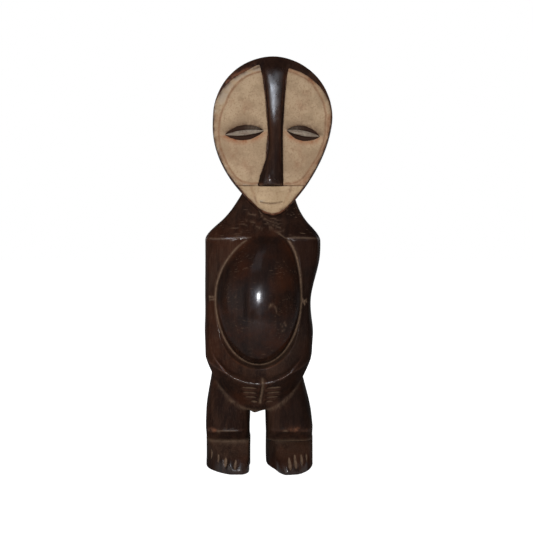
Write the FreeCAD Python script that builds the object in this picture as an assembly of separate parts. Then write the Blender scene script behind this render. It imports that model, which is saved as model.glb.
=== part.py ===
"""Standing fertility figure, carved from one block of dark wood, with white clay on its face.

Millimetres, +Z up, -Y the way the figure looks, +X the figure's own left. The shapes are laid
out round the torso's axis, and place() moves everything so that the origin is the middle of the
base of the whole figure. Each node is written to parts/NODE.step.
"""

import FreeCAD
import Part

import math
import os

Vector = FreeCAD.Vector

# Whole figure
HEIGHT = 450.0              # crown above the soles
FAR = 200.0                 # reach of a cutting tool that passes right through the figure

# Head: an egg seen from the front, point down, leaning to the figure's left
HEAD_X = 13.1               # middle of the head, from the torso's axis
HEAD_HALF_WIDTH = 65.0
HEAD_UP = 67.8              # crown above the head's widest level
HEAD_DOWN = 106.5           # chin below the head's widest level
HEAD_WIDEST_Z = HEIGHT - HEAD_UP
CHIN_TAPER = 1.6            # 1 gives an ellipse, and more draws the cheeks in towards the chin
CHIN_BLUNT = 0.28           # how much of an ellipse the chin's tip keeps
JAW_SWAY = 2.4              # the jaw swings this far to the figure's right, halfway to the chin
FACE_FRONT = -30.0          # the face's foremost level, nose left out
FACE_RADIUS = 380.0         # the face is part of this sphere
FACE_CENTRE_Z = 345.0

# White clay on the face
CLAY = 0.8                  # thickness of the coat
CLAY_HALF_WIDTH = 63.0      # the coat's egg outline, inside the head's
CLAY_UP = 54.5
CLAY_DOWN = 104.3
MOUTH_Z = 307.5             # the line that parts the mouth from the cheeks
MOUTH_RAISE = 1.0           # the mouth and chin stand proud of the cheeks by this
LINE = 1.4                  # width of a carved line

# Eyes: half-closed lids, each a bar between an upper and a lower gouge
EYE_HALF_HEIGHT = 8.0
LID_HALF_HEIGHT = 3.2
LID_SHORTER = 1.5           # the lid stops this far short of each corner of the eye
EYE_DEPTH = 3.2

# Torso, with the arms carved flat against it
SHOULDER_Z = 251.0
NECK_TOP_Z = 318.0
TORSO_X = -2.2              # middle of the ellipses below
BELLY_Z = 187.0             # middle of the belly's outline, whose top passes the shoulder ridge
BELLY_HALF_WIDTH = 45.2
BELLY_HALF_HEIGHT = 70.4
BELLY_EDGE_Y = -29.4        # floor of the line cut round the belly
BELLY_FRONT = -54.5
BELLY_SAG = 0.6             # the dome's front hangs lower than its outline's middle, by this slope
TORSO_Z = 183.8             # middle of the ellipses that end the torso
WRIST_HALF_WIDTH = 69.0     # the ridge along the forearms and wrists
WRIST_HALF_HEIGHT = 86.8
WRIST_FRONT = -47.0
HIP_HALF_WIDTH = 66.5       # the edge where arms, hands and seat stand on the thighs
HIP_HALF_HEIGHT = 119.0
HIP_FRONT = -26.0
HAND_GAP_X = 1.3            # the cut between the two hands

# Legs and feet
KNEE_Z = 45.0               # underside of the knee ledge
ANKLE_Z = 33.0              # top of the instep
ANKLE_FRONT = -25.0
HEEL_BACK = 27.0
TOE_OUT = 16.0              # degrees that the left foot turns outwards


# ---- shape helpers ---------------------------------------------------------------------------

def power(value, exponent):
    """value to an exponent, keeping its sign."""
    return math.copysign(abs(value) ** exponent, value)


def smooth_wire(points):
    """One closed smooth curve through the points."""
    curve = Part.BSplineCurve()
    curve.interpolate(Points=points, PeriodicFlag=True)
    return Part.Wire(curve.toShape())


def level(z, left, right, front, back, squareness=4.0, count=36):
    """Closed outline at height z, between a rectangle and an ellipse."""
    mid_x, mid_y = (left + right) / 2, (front + back) / 2
    points = []
    for i in range(count):
        turn = 2 * math.pi * i / count
        x = mid_x + (right - left) / 2 * power(math.cos(turn), 2 / squareness)
        y = mid_y + (back - front) / 2 * power(math.sin(turn), 2 / squareness)
        points.append(Vector(x, y, z))
    return smooth_wire(points)


def stack(levels, squareness=4.0):
    """Solid through levels given as (z, left, right, front, back)."""
    return Part.makeLoft([level(*row, squareness=squareness) for row in levels], True)


def egg(y, half_width, up, down, count=48):
    """The head's outline at depth y: round above its widest level, drawn to a chin below."""
    points = []
    for i in range(count):
        turn = 2 * math.pi * i / count
        across, along = math.cos(turn), math.sin(turn)
        if along >= 0:
            x, z = half_width * across, up * along
        else:
            tip = CHIN_BLUNT * across * along**12
            x = half_width * (power(across, CHIN_TAPER) + tip)
            x += JAW_SWAY * math.sin(math.pi * along)
            z = down * along
        points.append(Vector(HEAD_X + x, y, HEAD_WIDEST_Z + z))
    return smooth_wire(points)


def along_y(wire, front, back):
    """The wire's outline as a solid from y = front to y = back. The wire lies at y = 0."""
    face = Part.Face(wire)
    face.translate(Vector(0, front, 0))
    return face.extrude(Vector(0, back - front, 0))


def slab(low_x, high_x, low_z, high_z):
    """A box through the whole figure from front to back."""
    return Part.makeBox(high_x - low_x, 2 * FAR, high_z - low_z, Vector(low_x, -FAR, low_z))


def stretched(shape, x=1.0, y=1.0, z=1.0):
    """shape scaled by its own factor along each axis, about the origin."""
    matrix = FreeCAD.Matrix()
    matrix.scale(x, y, z)
    return shape.transformGeometry(matrix)


def gouge(start, end, radius):
    """A gouge mark: a long slim ellipsoid from start to end."""
    run = end - start
    shape = stretched(Part.makeSphere(1.0), radius, radius, run.Length / 2)
    shape.Placement = FreeCAD.Placement((start + end) / 2,
                                        FreeCAD.Rotation(Vector(0, 0, 1), run))
    return shape


def ellipse(y, half_width, half_height, middle_z=TORSO_Z):
    """Upright ellipse at depth y on the torso's middle, taller than wide."""
    middle = Vector(TORSO_X, y, middle_z)
    top, side = middle + Vector(0, 0, half_height), middle + Vector(half_width, 0, 0)
    return Part.Wire(Part.Ellipse(top, side, middle).toShape())


def face_ball(radius):
    """The ball whose surface is the face, or a layer of it."""
    centre = Vector(HEAD_X, FACE_FRONT + FACE_RADIUS, FACE_CENTRE_Z)
    return Part.makeSphere(radius, centre)


def face_y(x, z):
    """Depth of the face's surface at (x, z)."""
    aside = (x - HEAD_X) ** 2 + (z - FACE_CENTRE_Z) ** 2
    return FACE_FRONT + FACE_RADIUS - math.sqrt(FACE_RADIUS**2 - aside)


def lens(inner, outer, half_height, front, back):
    """An eye's outline, two arcs from corner to corner, as a solid along y."""
    middle = (inner + outer) / 2
    top = middle + Vector(0, 0, half_height)
    bottom = middle - Vector(0, 0, half_height)
    arcs = [Part.Arc(inner, top, outer), Part.Arc(outer, bottom, inner)]
    return along_y(Part.Wire([arc.toShape() for arc in arcs]), front, back)


# ---- the wooden figure -----------------------------------------------------------------------

def head():
    """Front to back: (y, half width, height above the widest level, depth below it)."""
    slices = [
        (-36.0, 61.0, 51.0, 104.0),
        (-26.0, 63.6, 59.5, HEAD_DOWN),
        (-15.0, 64.9, 65.6, HEAD_DOWN),
        (-3.0, HEAD_HALF_WIDTH, HEAD_UP, 104.0),
        (10.0, 62.5, 66.0, 92.0),
        (22.0, 56.0, 60.0, 76.0),
        (32.0, 45.0, 48.0, 60.0),
        (39.0, 29.0, 32.0, 38.0),
        (42.0, 14.0, 16.0, 18.0),
    ]
    block = Part.makeLoft([egg(*row) for row in slices], True)
    return block.common(face_ball(FACE_RADIUS))


def mouth_pad():
    """The mouth and chin, a little proud of the cheeks."""
    outline = egg(0, CLAY_HALF_WIDTH, CLAY_UP, CLAY_DOWN)
    pad = along_y(outline, -FAR, FACE_FRONT + 20)
    below = Part.makeBox(FAR, FAR, MOUTH_Z, Vector(HEAD_X - FAR / 2, -FAR / 2, 0))
    return pad.common(below).common(face_ball(FACE_RADIUS + MOUTH_RAISE))


def nose():
    """The long ridge from crown to mouth: (z, middle x, half width, height above the face)."""
    stations = [
        (444.0, 15.2, 17.0, 0.5),
        (425.0, 15.4, 12.8, 5.5),
        (398.0, 15.8, 10.0, 8.0),
        (365.0, 16.0, 7.9, 9.5),
        (335.0, 14.8, 9.2, 11.5),
        (318.0, 12.0, 12.2, 13.2),
        (MOUTH_Z, 10.8, 13.3, 13.8),
    ]
    sunk, squareness = 8.0, 2.8
    wires = []
    for z, x, half_width, rise in stations:
        points = []
        for i in range(24):
            turn = 2 * math.pi * i / 24
            across = power(math.cos(turn), 2 / squareness)
            ahead = (rise + sunk) * power(math.sin(turn), 2 / squareness)
            points.append(Vector(x + half_width * across, face_y(x, z) + sunk - ahead, z))
        wires.append(smooth_wire(points))
    return Part.makeLoft(wires, True)


def eyes():
    """(inner corner, outer corner) of each eye, figure's right then left, drooping outwards."""
    return [
        (Vector(4.3, 0, 366.4), Vector(-38.4, 0, 362.3)),
        (Vector(27.6, 0, 366.9), Vector(64.0, 0, 360.4)),
    ]


def lid_tool(inner, outer):
    """The outline of one lid, through the whole head."""
    inset = (outer - inner).normalize() * LID_SHORTER
    return lens(inner + inset, outer - inset, LID_HALF_HEIGHT, -FAR, FAR)


def eye_cut(inner, outer):
    """The wood and clay cut away above and below one lid."""
    middle = (inner + outer) / 2
    socket_back = face_y(middle.x, middle.z) + EYE_DEPTH
    socket = lens(inner, outer, EYE_HALF_HEIGHT, -FAR, socket_back)
    return socket.cut(lid_tool(inner, outer))


def torso():
    """Shoulders to seat, arms included: levels (z, left, right, front, back)."""
    levels = [
        (SHOULDER_Z, -60.5, 65.0, -31.0, 30.0),
        (228.0, -60.6, 63.8, -31.0, 32.0),
        (202.0, -60.7, 58.0, -31.0, 33.0),
        (176.0, -60.7, 54.8, -31.2, 32.0),
        (151.0, -60.7, 57.0, -33.5, 31.5),
        (133.0, -60.4, 56.0, -38.0, 33.0),
        (115.0, -60.0, 55.0, -45.0, 36.0),
        (90.0, -59.0, 54.0, -52.0, 38.0),
        (60.0, -58.0, 53.0, -57.0, 36.0),
    ]
    return stack(levels, squareness=5.0).common(hip_edge()).cut(tray())


def hip_edge():
    """What is left of the torso below its middle: the slope under the wrists, then the hips."""
    slope = (HIP_HALF_HEIGHT - WRIST_HALF_HEIGHT) / (HIP_FRONT - WRIST_FRONT)
    ahead = 10.0
    wires = [
        ellipse(WRIST_FRONT - ahead, WRIST_HALF_WIDTH, WRIST_HALF_HEIGHT - ahead * slope),
        ellipse(WRIST_FRONT, WRIST_HALF_WIDTH, WRIST_HALF_HEIGHT),
        ellipse(HIP_FRONT, HIP_HALF_WIDTH, HIP_HALF_HEIGHT),
        ellipse(FAR / 2, HIP_HALF_WIDTH, HIP_HALF_HEIGHT),
    ]
    above = Part.makeBox(FAR, FAR, FAR, Vector(-FAR / 2, -FAR / 2, TORSO_Z - 20))
    return Part.makeLoft(wires, True, True).fuse(above)


def tray():
    """The hollow the belly sits in. Its sides rise from the belly's line to the wrists' ridge."""
    half_width, half_height = BELLY_HALF_WIDTH + LINE, BELLY_HALF_HEIGHT + LINE
    beyond = 1.8
    wider = (WRIST_HALF_WIDTH - half_width) * beyond
    taller = (WRIST_HALF_HEIGHT - half_height) * beyond
    front = BELLY_EDGE_Y + (WRIST_FRONT - BELLY_EDGE_Y) * beyond
    rim_z = BELLY_Z + (TORSO_Z - BELLY_Z) * beyond
    wires = [ellipse(BELLY_EDGE_Y, half_width, half_height, BELLY_Z),
             ellipse(front, half_width + wider, half_height + taller, rim_z)]
    return Part.makeLoft(wires, True, True)


def shoulders():
    """The slopes from the shoulder ridge up to the neck, which ends inside the head."""
    sunk, inset = 0.6, 0.2
    levels = [
        (SHOULDER_Z - sunk, -60.5 + inset, 65.0 - inset, -31.0 + inset, 30.0 - inset),
        (262.0, -52.4, 57.6, -24.0, 29.5),
        (272.0, -41.6, 49.2, -18.0, 28.5),
        (281.0, -33.8, 43.6, -14.0, 27.5),
        (298.0, -22.5, 37.5, -9.0, 26.0),
        (NECK_TOP_Z, -14.0, 34.0, -8.0, 24.0),
    ]
    return stack(levels, squareness=5.0)


def belly():
    """The dome: a sagging ellipsoid that passes through the belly's outline."""
    middle_y = BELLY_EDGE_Y + 6.0
    reach = middle_y - BELLY_FRONT
    widening = 1 / math.sqrt(1 - ((middle_y - BELLY_EDGE_Y) / reach) ** 2)
    dome = stretched(Part.makeSphere(1.0), BELLY_HALF_WIDTH * widening, reach,
                     BELLY_HALF_HEIGHT * widening)
    sag = FreeCAD.Matrix()
    sag.A32 = BELLY_SAG
    dome = dome.transformGeometry(sag)
    dome.translate(Vector(TORSO_X, middle_y, BELLY_Z + BELLY_SAG * (middle_y - BELLY_EDGE_Y)))
    over_ridge = 1.0
    return dome.common(slab(-FAR, FAR, 0, SHOULDER_Z + over_ridge))


def legs():
    """Both legs down to the knee ledges, and the ankles below them."""
    right_leg = [
        (118.0, -53.0, -8.0, -20.0, 26.0),
        (100.0, -54.6, -9.0, -25.5, 29.0),
        (82.0, -57.6, -11.0, -29.5, 31.0),
        (62.0, -59.6, -12.0, -33.5, 31.0),
        (KNEE_Z, -60.0, -12.3, -37.5, 30.0),
    ]
    left_leg = [
        (118.0, 0.0, 45.0, -20.0, 26.0),
        (98.0, 2.0, 46.6, -25.5, 29.0),
        (82.0, 4.0, 51.0, -29.5, 31.0),
        (62.0, 5.2, 55.2, -33.5, 31.0),
        (KNEE_Z, 5.5, 57.0, -37.5, 30.0),
    ]
    ledges = [
        [(KNEE_Z, -60.0, -12.3, -37.5, 30.0), (ANKLE_Z - 2, -59.8, -12.3, ANKLE_FRONT, 27.5)],
        [(KNEE_Z, 5.5, 57.0, -37.5, 30.0), (ANKLE_Z - 2, 5.6, 57.0, ANKLE_FRONT, 27.5)],
    ]
    return [stack(levels) for levels in [right_leg, left_leg] + ledges]


def foot(footprint, toe_front, turn, rounding):
    """A foot: its sole's outline, cut to the instep's slope and the toes, its upper rim rounded."""
    wire = smooth_wire([Vector(x, y, 0) for x, y in footprint])
    block = Part.Face(wire).extrude(Vector(0, 0, ANKLE_Z + 1))
    toe_top = 10.0
    profile = [
        Vector(0, 60, 0),
        Vector(0, toe_front + 1.5, 0),
        Vector(0, toe_front, toe_top / 2),
        Vector(0, toe_front + 3.5, toe_top),
        Vector(0, ANKLE_FRONT, ANKLE_Z),
        Vector(0, 60, ANKLE_Z),
    ]
    side = Part.Face(Part.makePolygon(profile + profile[:1]))
    side.translate(Vector(-FAR / 2, 0, 0))
    side = side.extrude(Vector(FAR, 0, 0))
    side.rotate(Vector(0, 0, 0), Vector(0, 0, 1), turn)
    solid = block.common(side)
    climb = 6.0
    rim = [edge for edge in solid.Edges
           if edge.BoundBox.ZMin > toe_top - 1 and edge.BoundBox.ZLength > climb]
    return solid.makeFillet(rounding, rim)


def feet():
    right = [(-59.8, 12), (-59.6, -10), (-54.8, -23), (-46, -34.5), (-33, -45), (-21, -47.5),
             (-14.2, -41), (-12.3, -18), (-12.3, 12), (-20, 26), (-36, HEEL_BACK), (-52, 26)]
    left = [(5.6, 14), (8.0, -5), (15, -25), (22, -44), (31, -51), (42, -43.5), (51.5, -29),
            (57, -10), (57.5, 8), (50, 24), (31, HEEL_BACK), (13, 26)]
    return [foot(right, -47.0, 0.0, 4.0), foot(left, -55.5, TOE_OUT, 8.0)]


def toe_cuts():
    """Four gouges across the toes of each foot, from the instep down to the front."""
    marks = [  # x, then y and z of the upper end, then y and z of the lower end
        (-54.6, -24.4, 23.0, -24.6, 9.0),
        (-46.4, -34.6, 21.0, -35.6, 6.5),
        (-37.6, -37.8, 19.3, -43.0, 5.0),
        (-26.9, -38.8, 18.0, -48.4, 3.8),
        (31.4, -35.7, 19.3, -50.1, 3.8),
        (37.6, -31.7, 20.7, -47.5, 5.2),
        (44.7, -29.8, 21.5, -41.8, 6.0),
        (51.0, -27.4, 22.8, -31.3, 7.3),
    ]
    cuts = []
    for x, top_y, top_z, bottom_y, bottom_z in marks:
        lean = math.copysign(1.0, x)
        cuts.append(gouge(Vector(x - lean, top_y, top_z),
                          Vector(x + lean, bottom_y, bottom_z), 2.6))
    return cuts


def wrist_slope_y(x, z):
    """Depth of the slope under the wrists."""
    aside = (x - TORSO_X) / WRIST_HALF_WIDTH
    half_height = (TORSO_Z - z) / math.sqrt(1 - aside**2)
    share = (half_height - WRIST_HALF_HEIGHT) / (HIP_HALF_HEIGHT - WRIST_HALF_HEIGHT)
    return WRIST_FRONT + (HIP_FRONT - WRIST_FRONT) * share


def finger_cuts():
    """Four grooves along the fingers of each hand, and the cut that parts the hands."""
    rows = [(90.6, 22.5), (84.8, 21.5), (79.4, 19.0), (74.4, 12.5)]
    inner, ahead, rise = 2.0, 1.2, 1.2

    def over_slope(x, z):
        return Vector(x, wrist_slope_y(x, z) - ahead, z)

    cuts = []
    for z, length in rows:
        for side in (-1, 1):
            start, end = HAND_GAP_X + side * inner, HAND_GAP_X + side * (inner + length)
            cuts.append(gouge(over_slope(start, z), over_slope(end, z + rise), 2.5))
    top, bottom, lean = 99.0, 72.0, 1.5
    cuts.append(gouge(over_slope(HAND_GAP_X + lean, top), over_slope(HAND_GAP_X - lean, bottom), 3.2))
    return cuts


def elbow_cuts():
    """The short line at each elbow, from the belly out to the arm's edge."""
    y = -32.2
    return [gouge(Vector(-66.0, y, 187.0), Vector(-49.4, y, 187.6), 2.2),
            gouge(Vector(44.5, y, 182.9), Vector(60.0, y, 182.4), 2.2)]


def wooden_figure():
    figure = torso().fuse(shoulders())
    for block in [belly(), head(), mouth_pad(), nose()] + legs() + feet():
        figure = figure.fuse(block)
    for tool in toe_cuts() + finger_cuts() + elbow_cuts():
        figure = figure.cut(tool)
    for corners in eyes():
        figure = figure.cut(eye_cut(*corners))
    return figure


# ---- the clay ----------------------------------------------------------------------------------

def clay_layer():
    """The whole coat before it is parted: the skin of the face inside the clay's outline."""
    outline = along_y(egg(0, CLAY_HALF_WIDTH, CLAY_UP, CLAY_DOWN), -FAR, 0)
    return outline.common(face_ball(FACE_RADIUS)).cut(face_ball(FACE_RADIUS - CLAY))


def clay_pieces():
    """Name to solid: two cheeks, the mouth and chin, and the two lids."""
    layer = clay_layer().cut(nose())
    upper = layer.common(slab(-FAR, FAR, MOUTH_Z + LINE / 2, HEIGHT))
    outline = along_y(egg(0, CLAY_HALF_WIDTH, CLAY_UP, CLAY_DOWN), -FAR, 0)
    mouth = outline.common(face_ball(FACE_RADIUS + MOUTH_RAISE))
    mouth = mouth.cut(face_ball(FACE_RADIUS + MOUTH_RAISE - CLAY))
    pieces = {"mouth_clay": mouth.common(slab(-FAR, FAR, 0, MOUTH_Z - LINE / 2))}
    spans = {"right": (-FAR, 14.0), "left": (14.0, FAR)}
    for (side, (low, high)), (inner, outer) in zip(spans.items(), eyes()):
        half = upper.common(slab(low, high, 0, HEIGHT))
        socket = lens(inner, outer, EYE_HALF_HEIGHT, -FAR, FAR)
        pieces[f"{side}_cheek_clay"] = half.cut(socket)
        pieces[f"{side}_eyelid_clay"] = half.common(lid_tool(inner, outer))
    return pieces


# ---- assembly ----------------------------------------------------------------------------------

def place(nodes):
    """Moves all the nodes so that the origin is the middle of the whole figure's base."""
    box = FreeCAD.BoundBox()
    for shape in nodes.values():
        box.add(shape.optimalBoundingBox(False))
    shift = Vector(-box.Center.x, -box.Center.y, -box.ZMin)
    for shape in nodes.values():
        shape.translate(shift)


def main():
    clay = clay_pieces()
    wood = wooden_figure()
    for coat in clay.values():
        wood = wood.cut(coat)
    nodes = {"carved_figure": wood, **clay}
    place(nodes)
    os.makedirs("parts", exist_ok=True)
    for name, shape in nodes.items():
        print(name, "solids", len(shape.Solids), "valid", shape.isValid(),
              "volume", round(shape.Volume), "faces", len(shape.Faces))
        solid = shape.Solids[0] if len(shape.Solids) == 1 else Part.makeCompound(shape.Solids)
        solid.exportStep(os.path.join("parts", name + ".step"))


main()
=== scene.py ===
"""Looks of the carved standing figure: one block of dark waxed wood with white clay on its face.

The meshes are worked out in millimetres on the torso's own axis, as the CAD source is: +Z up,
-Y the way the figure looks. to_row() takes them to the row's frame in metres.
"""

import math

import bpy
import numpy as np
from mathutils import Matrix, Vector


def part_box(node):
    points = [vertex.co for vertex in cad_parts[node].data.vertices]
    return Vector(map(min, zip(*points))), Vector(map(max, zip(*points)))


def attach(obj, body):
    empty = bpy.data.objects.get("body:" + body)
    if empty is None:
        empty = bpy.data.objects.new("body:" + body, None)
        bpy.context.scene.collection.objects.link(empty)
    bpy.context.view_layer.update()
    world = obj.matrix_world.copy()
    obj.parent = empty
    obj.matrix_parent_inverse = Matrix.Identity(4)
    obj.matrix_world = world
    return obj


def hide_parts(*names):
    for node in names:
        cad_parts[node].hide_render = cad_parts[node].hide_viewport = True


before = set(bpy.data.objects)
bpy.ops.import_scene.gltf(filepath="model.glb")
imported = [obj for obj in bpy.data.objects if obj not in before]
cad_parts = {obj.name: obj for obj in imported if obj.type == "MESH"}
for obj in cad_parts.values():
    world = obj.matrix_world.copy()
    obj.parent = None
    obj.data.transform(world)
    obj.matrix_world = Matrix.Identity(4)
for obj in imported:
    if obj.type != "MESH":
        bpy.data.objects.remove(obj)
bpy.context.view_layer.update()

SEED = 7
MOST_TRIANGLES = 195000  # the carving's mesh is thinned to this
VOXEL, QUICK_VOXEL = 0.7, 1.4  # fineness of the carving's mesh, in millimetres
CLAY_STEP, QUICK_CLAY_STEP = 0.55, 1.0  # the same for the clay

# ---- places, from the frame ----

FIGURE_LOW, FIGURE_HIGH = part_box("carved_figure")
HEIGHT = (FIGURE_HIGH.z - FIGURE_LOW.z) * 1000
UNIT = HEIGHT / 450.0  # every length below is for a figure of 450
RIGHT_OF_AXIS, BEHIND_AXIS = 60.7, 42.0  # the figure's reach from the torso's axis
ROW_X = FIGURE_LOW.x * 1000 + RIGHT_OF_AXIS * UNIT
ROW_Y = FIGURE_HIGH.y * 1000 - BEHIND_AXIS * UNIT
ORIGIN = np.array([ROW_X, ROW_Y, FIGURE_LOW.z * 1000])

HEAD_X, HEAD_WIDEST_Z = 13.1, 382.2
CLAY_HALF_WIDTH, CLAY_UP, CLAY_DOWN = 63.0, 54.5, 104.3
CHIN_TAPER, CHIN_BLUNT, JAW_SWAY = 1.6, 0.28, 2.4
MOUTH_Z = 307.5
NOSE_Z = [MOUTH_Z, 318.0, 335.0, 365.0, 398.0, 425.0, 444.0]
NOSE_X = [10.8, 12.0, 14.8, 16.0, 15.8, 15.4, 15.2]
NOSE_HALF = [13.3, 12.2, 9.2, 7.9, 10.0, 12.8, 17.0]
EYE_HALF_HEIGHT, LID_HALF_HEIGHT = 8.0, 2.8
EYES = {"right": ((4.3, 366.4), (-38.4, 362.3)), "left": ((27.6, 366.9), (64.0, 360.4))}
TORSO_X, TORSO_Z = -2.2, 183.8  # middle of the ellipses at the wrists and the hips
HIP_HALF_WIDTH, HIP_HALF_HEIGHT = 66.5, 119.0
WRIST_HALF_WIDTH, WRIST_HALF_HEIGHT = 69.0, 86.8
BELLY_Z, BELLY_HALF_WIDTH, BELLY_HALF_HEIGHT = 187.0, 45.2, 70.4
BELLY_LEAN = 10.0  # its top leans this far to the figure's left
SHOULDER_Z, KNEE_Z, ANKLE_Z, HAND_GAP_X = 251.0, 45.0, 32.0, 1.3
SHOULDER_Y, SHOULDER_SLOPE = -31.3, 0.636  # the shoulders' front slope starts at the ridge
ELBOW_Z = 185.0
NOSE_TIP, NOSE_TIP_REACH = (9.5, 312.5), 4.5
APRON_X, APRON_DROP = -6.7, 2.8  # the apron's tip hangs between the thighs
FLAT_NOSE, ROUND_NOSE, NOSE_HEIGHT = 5.0, 2.8, 9.0  # squareness of its front, wanted and in CAD

MOUTH_X = 11.5  # middle of the lips
MOUTH_GAP = 0.12  # half the gap between the mouth's clay and the cheeks'
CLAY_SPREAD = 0.6  # the cheeks' clay spreads this far past its outline
CLAY_BEHIND = 1.1  # the clay reaches this far into the wood
MOUTH_STEP = 1.0  # the mouth and the lids stand this much out from the cheeks
CLAY_MARGIN = 7.0  # grid laid this far past a piece of clay
CHEEK_LINE = {  # levels, and the carved line's inset from the rim
    "right": ([311, 330, 350, 381, 396, 411, 426], [4.6, 3.6, 3.3, 6.5, 10.0, 7.8, 4.5]),
    "left": ([317, 343, 352, 380, 405, 420], [5.6, 3.2, 3.0, 5.6, 5.7, 3.0]),
}
SMUDGES = [  # x, z and reach of the brown patches on the clay
    (-16, 390, 8), (-28, 398, 6), (44, 393, 9), (-29, 341, 8), (-16, 328, 9), (39, 343, 8),
    (41, 331, 7), (52, 405, 7),
]

NECK_SCRATCHES = [  # x and z of both ends, and half the width
    (-2, 282, 12, 262, 0.5), (10, 264, 27, 251, 0.6), (13, 266, 22, 262, 0.45), (8, 271, 20, 266, 0.4),
    (-16, 271, -6, 268, 0.5), (-14, 278, -4, 276, 0.4), (-8, 265, 2, 262, 0.35), (17, 258, 25, 259, 0.4),
]
BELLY_NICKS = [
    (8.5, 179, 12, 182, 0.5), (12, 182, 16.5, 178, 0.5), (16.5, 178, 17.5, 172, 0.35),
    (21, 161, 24, 157, 0.45), (25, 162, 27.5, 158, 0.5), (22, 153, 26, 155, 0.4),
]
ELBOW_MARKS = [
    (-64, 188.6, -50, 188.0, 0.9), (-64, 184.5, -49, 185.4, 0.7),
    (43, 184, 55, 182, 0.8), (45, 187, 48, 179, 0.6), (43, 181, 50, 186, 0.5),
]
# Painted highlights: pale strokes where light catches the knees' ledges.
KNEE_HIGHLIGHTS = [(-46, 44.5, -43.5, 44.8, 1.7), (-43, 45.2, -25, 45.0, 0.7), (25.5, 44.8, 28, 45.0, 1.5)]
KNEE_RUST = [(-56, 45.0, -48, 45.5, 2.4), (32, 46.0, 41, 46.3, 3.0)]

# ---- colours and light, linear ----

BLACK_SKIN, BROWN_SKIN = (0.0125, 0.0062, 0.0045), (0.029, 0.0135, 0.0085)
RED_WOOD, FIBRE = (0.050, 0.0145, 0.0055), (0.062, 0.036, 0.024)
# PAINTED_SHADE is the near-black painted into the wood's hollows and onto the shade() places
WORN_WOOD, PAINTED_SHADE = (0.10, 0.034, 0.014), (0.006, 0.0032, 0.0024)
CUT_WOOD, PALE_CUT_WOOD = (0.10, 0.062, 0.04), (0.18, 0.118, 0.078)
RUST, RUST_ON_CLAY = (0.15, 0.060, 0.032), (0.25, 0.095, 0.042)
# BROWN_DIRT_AND_SHADE is the clay's brown: dirt, and painted shade above the eyes and beside the lips
BROWN_DIRT_AND_SHADE, CHALK, CLAY_DUST = (0.075, 0.036, 0.019), (0.36, 0.30, 0.235), (0.13, 0.10, 0.075)
SOCKET_WOOD = (0.030, 0.0155, 0.010)
CHEEK_CLAY = (0.286, 0.197, 0.118), (0.385, 0.272, 0.168), (0.225, 0.143, 0.084)  # base, light, dark
MOUTH_CLAY = (0.335, 0.232, 0.135), (0.44, 0.315, 0.192), (0.26, 0.17, 0.097)
EYELID_CLAY = (0.15, 0.112, 0.082), (0.25, 0.20, 0.152), (0.09, 0.064, 0.048)
WORLD_LIGHT = 0.06
WHITE, SKY_WHITE = (1.0, 1.0, 1.0), (0.80, 0.88, 1.0)
LAMPS = {  # place, size in metres, watts, colour, level aimed at
    "flash": ((0, -1060, 346), (0.04, 0.04), 7.4, WHITE, 280),
    "window": ((-190, -1000, 1031), (0.34, 0.45), 3.8, SKY_WHITE, 400),
    "near_side": ((-900, -800, 350), (0.9, 0.9), 2.2, WHITE, 280),
    "behind_right": ((-850, 1000, 500), (0.9, 0.9), 4.5, WHITE, 280),
    "behind_left": ((850, 1000, 500), (0.9, 0.9), 4.5, WHITE, 280),
}
CAMERA_PLACE, CAMERA_TIP = (6.5, -968.0, 245.0), 1.47  # tip in degrees below the horizon
CAMERA_LENS, CAMERA_SENSOR = 59.08, 36.0
FLOOR_HALF = 12.0  # metres


def from_row(points):
    """Row frame in metres to millimetres on the torso's axis."""
    return (points * 1000 - ORIGIN) / UNIT


def to_row(points):
    return (points * UNIT + ORIGIN) / 1000


# ---- numbers on many points ----

def upright(x, z):
    """Points in one upright plane, for noise that doesn't depend on depth."""
    return np.stack([x, 0 * x, z], 1)


def smoothstep(value, low, high):
    t = np.clip((value - low) / (high - low), 0, 1)
    return t * t * (3 - 2 * t)


def noise(points, size, seed, stretch=(1, 1, 1)):
    """Smooth noise of -1 to 1 at each point, with bumps about size across."""
    count = 32
    lattice = np.random.RandomState(SEED + seed).uniform(-1, 1, (count,) * 3)
    p = points / (size * np.array(stretch, float)) + 100.37
    cell = np.floor(p).astype(int)
    t = p - cell
    t = t * t * (3 - 2 * t)
    total = np.zeros(len(points))
    for corner in range(8):
        step = np.array([corner & 1, corner >> 1 & 1, corner >> 2 & 1])
        at = (cell + step) % count
        weight = np.prod(np.where(step == 1, t, 1 - t), axis=1)
        total += weight * lattice[at[:, 0], at[:, 1], at[:, 2]]
    return total


def layered_noise(points, size, seed, layers=3):
    total = sum(noise(points, size / 2**i, seed + i) / 2**i for i in range(layers))
    return total / 1.6


def jaw_half_width(share):
    """The clay's half width at a share of the way down from its widest level to the chin."""
    across = np.sqrt(1 - share**2)
    return CLAY_HALF_WIDTH * (across**CHIN_TAPER + CHIN_BLUNT * across * share**12)


def egg_inset(x, z):
    """Distance inside the clay's egg outline, in millimetres, about right near the outline."""
    dx, dz = x - HEAD_X, z - HEAD_WIDEST_Z
    radius = np.sqrt((dx / CLAY_HALF_WIDTH) ** 2 + (dz / CLAY_UP) ** 2)
    above = (1 - radius) * np.hypot(dx, dz) / np.maximum(radius, 0.05)
    share = np.clip(-dz / CLAY_DOWN, 0, 0.9999)
    half, step = jaw_half_width(share), 0.01
    slope = (jaw_half_width(np.maximum(share - step, 0)) - half) / (step * CLAY_DOWN)
    aside = half - np.abs(dx + JAW_SWAY * np.sin(math.pi * share))
    below = aside / np.sqrt(1 + slope**2)
    below = np.where(-dz > CLAY_DOWN, -np.hypot(dx, dz + CLAY_DOWN), below)
    return np.where(dz >= 0, above, below)


def nose_middle(z):
    return np.interp(z, NOSE_Z, NOSE_X)


def beside_nose(x, z):
    """Distance outside the nose's edge, sideways."""
    return np.abs(x - nose_middle(z)) - np.interp(z, NOSE_Z, NOSE_HALF)


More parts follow.
